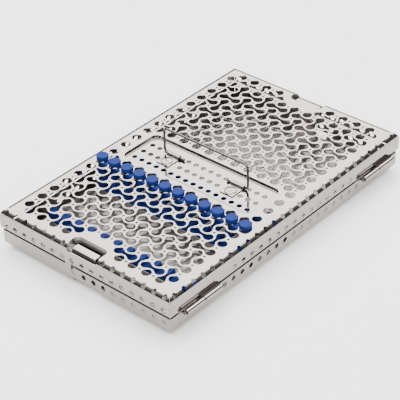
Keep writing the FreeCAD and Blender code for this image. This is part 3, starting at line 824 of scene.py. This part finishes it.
class MakeLidCover(bpy.types.Operator):
    """Make the pressed, perforated lid with its recessed panel and thumb notches"""
    bl_idname = "case.lid_cover"
    bl_label = "Lid cover"

    def execute(self, context):
        sizes, pattern = context.scene.case_sheet, context.scene.case_pattern
        middle = sizes.sheet / 2
        shell = pressed_pan("lid_sheet", HALF_LENGTH, HALF_WIDTH, LIP, HEIGHT, sizes.lid_bend, sizes)
        walls = wall_places(HALF_LENGTH - middle, HALF_WIDTH - middle, HEIGHT - LID_HOLE_DROP, LID_HOLES,
                            HALF_WIDTH)
        panel = (PANEL_X0 / pattern.half_pitch - PANEL_MARGIN, PANEL_X1 / pattern.half_pitch + PANEL_MARGIN)
        perforate(shell, HEIGHT, pattern.web, panel, LID_NOTCH_COLUMN,
                  walls + bend_places(sizes.lid_bend) + panel_places(), self.voids(sizes), self.added(sizes))
        dress(shell, "polished_steel", "lid", "lid_cover")
        line_inside(shell, HALF_LENGTH, HALF_WIDTH)
        return {"FINISHED"}

    @staticmethod
    def added(sizes):
        """Collars of the notches, the panel's pocket and the lugs at the ends."""
        sheet = sizes.sheet
        outline = notch_outline(sheet, HALF_LENGTH - sizes.lid_bend)
        collar = stacked("collar", [(outline, HEIGHT - NOTCH_COLLAR), (outline, HEIGHT - COLLAR_TOP_DROP)])
        pocket = stacked("pocket", [(panel_outline(sheet - PANEL_SLOPE), PANEL_Z - sheet),
                                    (panel_outline(sheet), HEIGHT - sheet * POCKET_TOP_IN_SHEETS)])
        lug = block("lug", (HALF_LENGTH - sheet, LUG_Y, SEAM - LUG_DROP),
                    (HALF_LENGTH, NOTCH_HALF_Y + LUG_PAST, LIP + LUG_PAST))
        return joined("lid_added", [mirrored_pair(collar, "collars"), pocket, mirrored_pair(lug, "lugs")])

    @staticmethod
    def voids(sizes):
        """Panel pocket, thumb notches and slots, kept apart where they touch."""
        lip, turn = PRESSED_LIP, LIP_TURN * PRESSED_LIP
        edge = [(0, HEIGHT - lip), (turn, HEIGHT - turn), (lip, HEIGHT), (lip, HEIGHT + THROUGH)]
        foot = [(-PANEL_SLOPE, PANEL_Z), (lip * FOOT_TURN[0] - PANEL_SLOPE, PANEL_Z + lip * FOOT_TURN[1]),
                (lip - PANEL_SLOPE, PANEL_Z + lip)]
        pocket = stacked("pocket_void", [(panel_outline(grow), z) for grow, z in foot + edge])
        low, far_x = HEIGHT - NOTCH_WALL_DROP, HALF_LENGTH + NOTCH_PAST_IN_BENDS * sizes.lid_bend
        notch = stacked("notch", [(notch_outline(grow, far_x), z)
                                  for grow, z in [(-NOTCH_SLOPE, low), *edge]])
        outline = notch_outline(0, HALF_LENGTH - sizes.sheet)
        inside = stacked("notch_inside", [(outline, low - THROUGH), (outline, low + THROUGH)])
        slots = hinge_slots("lid", HALF_WIDTH, SEAM + LEAF_REACH - LEAF)
        slits = corner_slits(HALF_LENGTH, HALF_WIDTH, SEAM, HEIGHT - sizes.lid_bend, sizes.slit)
        return (joined("lid_voids", [pocket, mirrored_pair(notch, "notches")] + slots + slits),
                mirrored_pair(inside, "notch_insides"))


class MakeBaseTray(bpy.types.Operator):
    """Make the pressed, perforated tray"""
    bl_idname = "case.base_tray"
    bl_label = "Base tray"

    def execute(self, context):
        sizes, pattern = context.scene.case_sheet, context.scene.case_pattern
        middle = sizes.sheet / 2
        shoulder_z = LIP - SHOULDER_DROP
        shell = pressed_pan("tray_sheet", TRAY_X, TRAY_Y, TRAY_RIM, 0, sizes.tray_bend, sizes,
                            (SHOULDER_DEPTH, shoulder_z, shoulder_z + SHOULDER_RISE))
        walls = wall_places(TRAY_X - middle, TRAY_Y - middle, TRAY_HOLE_Z, TRAY_HOLES, LUG_Y)
        perforate(shell, sizes.sheet, pattern.tray_web, NO_PANEL, TRAY_NOTCH_COLUMN, walls,
                  self.voids(sizes))
        dress(shell, "polished_steel", "tray", "base_tray")
        line_inside(shell, TRAY_X, TRAY_Y)
        return {"FINISHED"}

    @staticmethod
    def voids(sizes):
        """Reliefs at the lugs, slots and slits, and gaps in the rim at the lid's knuckles."""
        relief = block("relief", (TRAY_X - RELIEF_DEPTH, -RELIEF_Y, -THROUGH),
                       (TRAY_X + THROUGH, LUG_Y, sizes.tray_bend))
        slots = hinge_slots("tray", TRAY_Y, SEAM - LEAF_REACH)
        slits = corner_slits(TRAY_X, TRAY_Y, TRAY_SLIT_LOW, TRAY_RIM + TRAY_SLIT_PAST, sizes.slit)
        rims = [block("rim", (x0 - KNUCKLE_GAP, -TRAY_Y - THROUGH, SEAM + KNUCKLE_GAP),
                      (x1 + KNUCKLE_GAP, -TRAY_Y + THROUGH, TRAY_RIM + THROUGH))
                for x0, x1 in hinge_spans("lid")]
        return joined("tray_voids", [mirrored_pair(relief, "reliefs")] + slots + slits), joined("rims", rims)


def rounded_path(corners, radii, steps=6):
    """Flat path through corners, each but the ends rounded by its own radius."""
    path = [Vector(corners[0])]
    for before, corner, after, radius in zip(corners, corners[1:], corners[2:], radii):
        corner = Vector(corner)
        into = (corner - Vector(before)).normalized()
        out = (Vector(after) - corner).normalized()
        centre = corner + (out - into) * radius
        for step in range(steps + 1):
            angle = math.pi / 2 * step / steps
            path.append(centre - out * radius * math.cos(angle) + into * radius * math.sin(angle))
    path.append(Vector(corners[-1]))
    return path


def thickened(path, thickness):
    """Outline of a bent strip about its middle line."""
    left, right = [], []
    for i, point in enumerate(path):
        before, after = path[max(i - 1, 0)], path[min(i + 1, len(path) - 1)]
        run = (after - before).normalized()
        side = Vector((-run.y, run.x)) * thickness / 2
        left.append(point + side)
        right.append(point - side)
    return left + right[::-1]


def bent_strap(name, path, thickness, ends, rounding):
    """Strap whose middle line is a path in X and Z, drawn along Y between its ends."""
    strap = drawn_out(name, thickened(path, thickness), ends)
    soften(strap, rounding, STRAP_ANGLE)
    return strap


def turned(name, profile, x, y, sides):
    """Solid of revolution about an upright axis, from radii and heights."""
    return stacked(name, [([(x + u, y + v) for u, v in circle(radius, sides)], z)
                          for radius, z in profile])


def domed(radius, low, rise, steps=5):
    """Profile of a low dome over a short straight rim."""
    rim = rise * DOME_RIM
    points = [(radius, low), (radius, low + rim)]
    for step in range(1, steps + 1):
        angle = math.pi / 2 * step / (steps + DOME_FLAT)
        points.append((radius * math.cos(angle), low + rim + (rise - rim) * math.sin(angle)))
    return points


class MakeHinges(bpy.types.Operator):
    """Make both hinges: two rolled leaves and a pin each"""
    bl_idname = "case.hinges"
    bl_label = "Hinges"

    def execute(self, context):
        sheet = context.scene.case_sheet.sheet
        for place in ("near", "far"):
            low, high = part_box("hinge_pin_" + place)
            centre = Vector(middle_of(low, high)[1:])
            self.pin(low, high, centre, place)
            for which, wall_y, up in (("tray", -TRAY_Y, -1), ("lid", -HALF_WIDTH, 1)):
                self.leaf(which, place, centre, wall_y + sheet + LEAF / 2, up)
        return {"FINISHED"}

    @staticmethod
    def pin(low, high, centre, place):
        """Round pin with chamfered ends."""
        radius = (high[2] - low[2]) / 2
        rings = []
        for x, share in ((low[0], PIN_TIP), (low[0] + PIN_CHAMFER, 1), (high[0] - PIN_CHAMFER, 1),
                         (high[0], PIN_TIP)):
            rings.append([Vector((x, centre.x + u, centre.y + v))
                          for u, v in circle(radius * share, PIN_SIDES)])
        dress(loft("hinge_pin_dressed_" + place, rings), "steel_wire", "tray", "hinge_pin_" + place)

    @staticmethod
    def leaf(which, place, centre, leg_y, up):
        """Leg inside the wall, web through its slot and knuckle rolled round the pin."""
        node = which + "_hinge_leaf_" + place
        low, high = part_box(node)
        roll = centre.x - low[1] - LEAF / 2
        leg_end = high[2] if up > 0 else low[2]
        web_z = centre.y + up * roll
        path = rounded_path([(leg_y, leg_end), (leg_y, web_z), (centre.x, web_z)], [LEAF])
        for degrees in ROLL_DEGREES:
            angle = math.radians(degrees)
            path.append(centre + Vector((math.cos(angle), up * math.sin(angle))) * roll)
        leaf = loft(which + "_leaf_dressed_" + place,
                    [[Vector((x, y, z)) for y, z in thickened(path, LEAF)] for x in (low[0], high[0])])
        soften(leaf, LEAF_EDGE, STRAP_ANGLE)
        dress(leaf, "polished_steel", which, node)


def wire_tree():
    """Tree that turns a path of straight runs into a bent wire."""
    tree = Tree("Bent wire", [("Wire Radius", "Float"), ("Bend Radius", "Float"), ("Bend Steps", "Int"),
                              ("Sides", "Int"), ("Finish", "Material")])
    inputs = tree.source
    curve = tree.add("GeometryNodeMeshToCurve", Mesh=inputs["Geometry"])
    bent = tree.add("GeometryNodeFilletCurve", {"mode": "POLY"}, Curve=curve.outputs[0],
                    Radius=inputs["Bend Radius"], Count=inputs["Bend Steps"])
    section = tree.add("GeometryNodeCurvePrimitiveCircle", Resolution=inputs["Sides"],
                       Radius=inputs["Wire Radius"])
    wire = tree.add("GeometryNodeCurveToMesh", Curve=bent.outputs[0], Profile_Curve=section.outputs[0],
                    Fill_Caps=True)
    return tree.finished(wire.outputs[0])


class MakeBail(bpy.types.Operator):
    """Make the folding wire bail"""
    bl_idname = "case.bail"
    bl_label = "Bail"

    def execute(self, context):
        low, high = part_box("bail_handle")
        radius = (high[0] - low[0]) / 2
        side, foot, top = high[1] - radius, low[2] + radius, high[2] - radius
        corners = [(0, BAIL_END_Y, foot), (0, side, foot), (0, side, top),
                   (0, -side, top), (0, -side, foot), (0, -BAIL_END_Y, foot)]
        mesh = bpy.data.meshes.new("bail_path")
        mesh.from_pydata(corners, [(i, i + 1) for i in range(len(corners) - 1)], [])
        bail = linked("bail_dressed", mesh)
        run_tree(bail, wire_tree(), {"Wire Radius": radius, "Bend Radius": BAIL_BEND,
                                     "Bend Steps": WIRE_STEPS, "Sides": WIRE_SIDES,
                                     "Finish": finish("steel_wire")})
        soften(bail, WIRE_EDGE, WIRE_ANGLE)
        dress(bail, "steel_wire", "bail", "bail_handle")
        return {"FINISHED"}


class MakeClips(bpy.types.Operator):
    """Make the two straps over the bail's feet and their domed rivets"""
    bl_idname = "case.clips"
    bl_label = "Bail clips"

    def execute(self, context):
        strap = context.scene.case_sheet.sheet
        for place in ("left", "right"):
            low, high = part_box("bail_clip_" + place)
            side, crest, flat = high[0] - strap / 2, high[2] - strap / 2, low[2] + strap / 2
            path = rounded_path([(low[0], flat), (-side, flat), (-side, crest), (side, crest),
                                 (side, low[2])],
                                [strap * CLIP_TOE_IN_STRAPS, side * CLIP_CREST, side * CLIP_CREST])
            clip = bent_strap("clip_dressed_" + place, path, strap, (low[1], high[1]), STRAP_EDGE)
            dress(clip, "polished_steel", "lid", "bail_clip_" + place)
            low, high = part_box("clip_rivet_" + place)
            x, y, _ = middle_of(low, high)
            profile = domed((high[1] - low[1]) / 2, low[2], high[2] - low[2])
            rivet = turned("clip_rivet_dressed_" + place, profile, x, y, RIVET_SIDES)
            dress(rivet, "polished_steel", "lid", "clip_rivet_" + place)
        return {"FINISHED"}


def row_tree():
    """Tree that stands a row of like items along a strip and makes them one with it."""
    tree = Tree("Row on a strip", [("Count", "Int"), ("Spacing", "Float"), ("Item", "Object"),
                                   ("Finish", "Material")])
    inputs = tree.source
    reach = tree.times(tree.minus(inputs["Count"], 1.0), inputs["Spacing"])
    line = tree.add("GeometryNodeMeshLine", Count=inputs["Count"], Offset=tree.vector(Y=inputs["Spacing"]),
                    Start_Location=tree.vector(Y=tree.times(reach, -HALF)))
    items = tree.stood_on(line.outputs[0], inputs["Item"])
    return tree.finished(tree.combined("UNION", [inputs["Geometry"], items]))


def soft_block(name, low, high, rounding):
    """Moulded block with rounded edges."""
    piece = block(name, low, high)
    soften(piece, rounding, SOFT_ANGLE, segments=3)
    return piece


def rail_of(strip, item, body, node):
    """Silicone strip with its row of items."""
    run_tree(strip, row_tree(), {"Count": ITEM_COUNT, "Item": item, "Finish": finish("blue_silicone"),
                                 "Spacing": 2 * bpy.context.scene.case_pattern.half_pitch})
    discard(item)
    dress(strip, "blue_silicone", body, node)


class MakeLidRail(bpy.types.Operator):
    """Make the blue strip under the lid, with the studs that come up through it"""
    bl_idname = "case.lid_rail"
    bl_label = "Lid rail"

    def execute(self, context):
        low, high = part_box("lid_rail")
        x, head = middle_of(low, high)[0], (high[0] - low[0]) / 2
        under = HEIGHT - context.scene.case_sheet.sheet
        strip_z = under - LID_STRIP
        profile = [(STEM_RADIUS, under - STEM_DROP), (STEM_RADIUS, HEIGHT), (head - STUD_FLARE, HEIGHT),
                   (head, HEIGHT + STUD_FLARE)]
        for step in range(STUD_STEPS + 1):
            angle = math.pi / 2 * step / STUD_STEPS
            profile.append((head - STUD_RIM + STUD_RIM * math.cos(angle),
                            high[2] - STUD_RIM + STUD_RIM * math.sin(angle)))
        stud = turned("stud", profile, x, 0, STUD_SIDES)
        finger = soft_block("finger", (x - STRIP_HALF, -FINGER / 2, low[2]),
                            (x + STRIP_HALF, FINGER / 2, strip_z + LID_FINGER_RISE), LID_FINGER_EDGE)
        strip = soft_block("lid_rail_dressed", (x - STRIP_HALF, low[1], strip_z),
                           (x + STRIP_HALF, high[1], under), STRIP_EDGE)
        rail_of(strip, joined("stud_and_finger", [stud, finger]), "lid", "lid_rail")
        return {"FINISHED"}


class MakeTrayRails(bpy.types.Operator):
    """Make the three slotted blue rails in the tray and their steel channels"""
    bl_idname = "case.tray_rails"
    bl_label = "Tray rails"

    def execute(self, context):
        sheet = context.scene.case_sheet.sheet
        for number in ("1", "2", "3"):
            low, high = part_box("tray_rail_" + number)
            x = middle_of(low, high)[0]
            finger = soft_block("finger", (x - STRIP_HALF, -FINGER / 2, low[2] + TRAY_FINGER_LOW),
                                (x + STRIP_HALF, FINGER / 2, high[2]), TRAY_FINGER_EDGE)
            strip = soft_block("rail_dressed_" + number, low, (high[0], high[1], TRAY_STRIP_TOP),
                               STRIP_EDGE)
            rail_of(strip, finger, "tray", "tray_rail_" + number)
            low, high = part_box("rail_channel_" + number)
            x0, x1, foot = low[0] + sheet / 2, high[0] - sheet / 2, low[2] + sheet / 2
            path = rounded_path([(x0, high[2]), (x0, foot), (x1, foot), (x1, high[2])], [sheet, sheet])
            channel = bent_strap("channel_dressed_" + number, path, sheet, (low[1], high[1]), STRAP_EDGE)
            dress(channel, "inner_steel", "tray", "rail_channel_" + number)
        return {"FINISHED"}


class MakeLatches(bpy.types.Operator):
    """Make the sprung latch tongues with their riveted feet"""
    bl_idname = "case.latches"
    bl_label = "Latches"

    def execute(self, context):
        strap = context.scene.case_sheet.sheet
        half = strap / 2
        for place, side in (("far", 1), ("near", -1)):
            low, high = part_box("latch_tongue_far")
            x0, x1, top = low[0] + half, high[0] - half, high[2] - half
            path = rounded_path([(x0, low[2]), (x0, top), (x1, top), (x1, high[2] - PAD_DROP)],
                                [LEG_BEND - half, PAD_BEND - half], steps=10)
            tongue = bent_strap("tongue_dressed_" + place, path, strap, (low[1], high[1]), TONGUE_EDGE)
            dress(moved(tongue, mirror_x(side)), "polished_steel", "tongue_" + place,
                  "latch_tongue_" + place)
            low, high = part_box("latch_foot_far")
            x1, flat = high[0] - half, low[2] + half
            path = rounded_path([(low[0], flat), (x1, flat), (x1, high[2])], [strap])
            foot = bent_strap("foot_dressed_" + place, path, strap, (low[1], high[1]), STRAP_EDGE)
            dress(moved(foot, mirror_x(side)), "inner_steel", "tray", "latch_foot_" + place)
            low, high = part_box("latch_rivets_far")
            radius = (high[0] - low[0]) / 2
            profile = domed(radius, high[2] - RIVET_RISE, RIVET_RISE)
            heads = [turned("rivet", profile, low[0] + radius, y, RIVET_SIDES)
                     for y in (low[1] + radius, high[1] - radius)]
            rivets = moved(joined("rivets_dressed_" + place, heads), mirror_x(side))
            dress(rivets, "inner_steel", "tray", "latch_rivets_" + place)
        return {"FINISHED"}


class MakeStage(bpy.types.Operator):
    """Make the pale floor, the soft lights, the surroundings and the camera"""
    bl_idname = "case.stage"
    bl_label = "Stage"

    def execute(self, context):
        # The floor clears the top of the lid when the lid is turned right over
        floor_z = min(0.0, 2 * HINGE_Z - HEIGHT) - FLOOR_GAP
        floor = block("floor", (-FLOOR_HALF, -FLOOR_HALF, floor_z - FLOOR_DEPTH),
                      (FLOOR_HALF, FLOOR_HALF, floor_z))
        coat, tint = Coat("floor"), context.scene.case_colours.floor
        coat.tint(coat.noise(*CLOUD), [c * FLOOR_DARKER for c in tint], tint)
        coat.give(coat.shader, Roughness=FLOOR_ROUGHNESS)
        floor.data.materials.append(coat.material)
        context.scene.world = self.surroundings()
        self.lamp(context.scene)
        self.camera(context.scene)
        return {"FINISHED"}

    @staticmethod
    def surroundings():
        """Studio that is bright above, lower down along the view, and dim round the rest."""
        world = bpy.data.worlds.new("studio")
        world.use_nodes = True
        sky = Nodes(world.node_tree)
        direction = sky.add("ShaderNodeTexCoord").outputs["Generated"]
        along = sky.add("ShaderNodeVectorMath", {"operation": "DOT_PRODUCT"})
        sky.feed(along.inputs[0], direction)
        sky.feed(along.inputs[1], ALONG_VIEW)
        height = sky.add("ShaderNodeSeparateXYZ", Vector=direction).outputs["Z"]
        lean = sky.times(sky.calc("ABSOLUTE", along.outputs["Value"]), SKY_LEAN)
        bright = sky.times(sky.ranged(sky.plus(lean, height), SKY_LEVELS, SKY_HEIGHTS),
                           sky.ranged(height, ZENITH_LEVELS, ZENITH_HEIGHTS))
        lit = sky.calc("MAXIMUM", bright, sky.ranged(height, DIM_LEVELS, DIM_HEIGHTS))
        sky.give(sky.tree.nodes["Background"], Color=STUDIO_COLOUR,
                 Strength=sky.times(lit, STUDIO_STRENGTH))
        return world

    @staticmethod
    def lamp(scene):
        """Soft square lamp over the case."""
        data = bpy.data.lights.new("overhead", "AREA")
        data.shape = "RECTANGLE"
        data.size = data.size_y = LAMP_SIDE
        data.energy = LAMP_WATTS
        lamp = bpy.data.objects.new("overhead", data)
        lamp.location = LAMP_PLACE
        aim = Vector(LAMP_TARGET) - Vector(LAMP_PLACE)
        lamp.rotation_euler = aim.to_track_quat("-Z", "Y").to_euler()
        scene.collection.objects.link(lamp)

    @staticmethod
    def camera(scene):
        """Camera with the photograph's direction, distance and lens."""
        azimuth, elevation, roll = [math.radians(turn) for turn in VIEW_DEGREES]
        back = Vector((math.sin(azimuth) * math.cos(elevation), -math.cos(azimuth) * math.cos(elevation),
                       math.sin(elevation)))
        level = Vector((math.cos(azimuth), math.sin(azimuth), 0))
        upright = back.cross(level)
        right = math.cos(roll) * level + math.sin(roll) * upright
        up = math.cos(roll) * upright - math.sin(roll) * level
        centre = Vector((0, 0, HEIGHT)) + back * VIEW_DISTANCE + right * VIEW_RIGHT + up * VIEW_UP
        data = bpy.data.cameras.new("camera")
        data.lens, data.sensor_width = LENS, SENSOR
        camera = bpy.data.objects.new("camera", data)
        camera.matrix_world = Matrix.Translation(centre) @ Matrix((right, up, back)).transposed().to_4x4()
        scene.collection.objects.link(camera)
        scene.camera = camera


class CasePanel(bpy.types.Panel):
    """Sidebar list of the case's sizes, colours and pieces"""
    bl_label = "Sterilising case"
    bl_idname = "VIEW3D_PT_case"
    bl_space_type = "VIEW_3D"
    bl_region_type = "UI"
    bl_category = "Case"

    def draw(self, context):
        """Lists every size and colour, then a button for each group of pieces."""
        for group in (context.scene.case_sheet, context.scene.case_pattern, context.scene.case_colours):
            for name in group.__annotations__:
                self.layout.prop(group, name)
        for operator in OPERATORS:
            self.layout.operator(operator.bl_idname)


OPERATORS = (MakeLidCover, MakeBaseTray, MakeHinges, MakeBail, MakeClips, MakeLidRail, MakeTrayRails,
             MakeLatches, MakeStage)
CLASSES = (SheetSizes, PatternSizes, FinishColours, *OPERATORS, CasePanel)


def register():
    """Makes the classes known and hangs the sizes and colours on the scene."""
    for item in CLASSES:
        bpy.utils.register_class(item)
    bpy.types.Scene.case_sheet = bpy.props.PointerProperty(type=SheetSizes)
    bpy.types.Scene.case_pattern = bpy.props.PointerProperty(type=PatternSizes)
    bpy.types.Scene.case_colours = bpy.props.PointerProperty(type=FinishColours)


def unregister():
    """Takes back what register did."""
    del bpy.types.Scene.case_colours
    del bpy.types.Scene.case_pattern
    del bpy.types.Scene.case_sheet
    for item in reversed(CLASSES):
        bpy.utils.unregister_class(item)


def main():
    """Makes every piece and the stage."""
    register()
    bpy.ops.case.lid_cover()
    bpy.ops.case.base_tray()
    bpy.ops.case.hinges()
    bpy.ops.case.bail()
    bpy.ops.case.clips()
    bpy.ops.case.lid_rail()
    bpy.ops.case.tray_rails()
    bpy.ops.case.latches()
    bpy.ops.case.stage()


if __name__ == "__main__":
    main()
